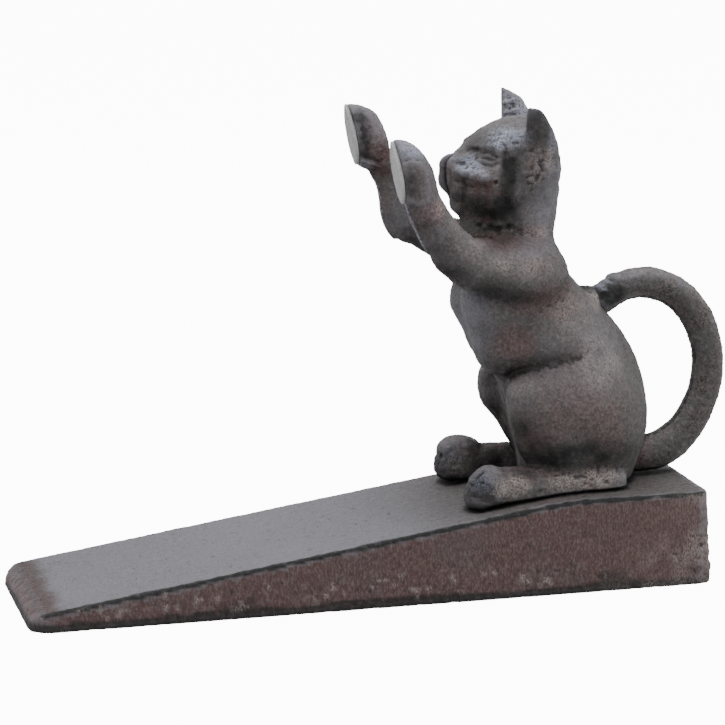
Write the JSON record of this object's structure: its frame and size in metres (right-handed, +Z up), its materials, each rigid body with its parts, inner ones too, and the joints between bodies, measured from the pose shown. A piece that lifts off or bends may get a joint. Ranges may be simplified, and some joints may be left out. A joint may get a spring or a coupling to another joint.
{
  "type": "door stop",
  "caption": "Cast iron door wedge with a seated cat on its thick end, whose raised forepaws meet the door.",
  "frame": {"origin": "on the floor, under the middle of the whole object's box", "axes": "+X from the thin tip of the wedge to its heel, +Z up, the cat looks towards -X and its left side is at -Y"},
  "size_m": [0.1927, 0.05, 0.1276],
  "materials": {
    "wedge_iron": "antique brown paint over sand-cast iron, rubbed paler on the ramp",
    "figure_iron": "antique dark brown paint over sand-cast iron, satin on the high points",
    "screw_steel": "plain zinc-plated steel, dulled",
    "paw_pad": "pale grey, matt"
  },
  "bodies": {
    "root": {"wedge_base": "wedge_iron", "cat_left_half": "figure_iron", "cat_right_half": "figure_iron", "tail": "figure_iron", "base_screws": "screw_steel", "base_washers": "screw_steel", "clamp_screw": "screw_steel", "left_paw_pad": "paw_pad", "right_paw_pad": "paw_pad"}
  },
  "joints": []
}
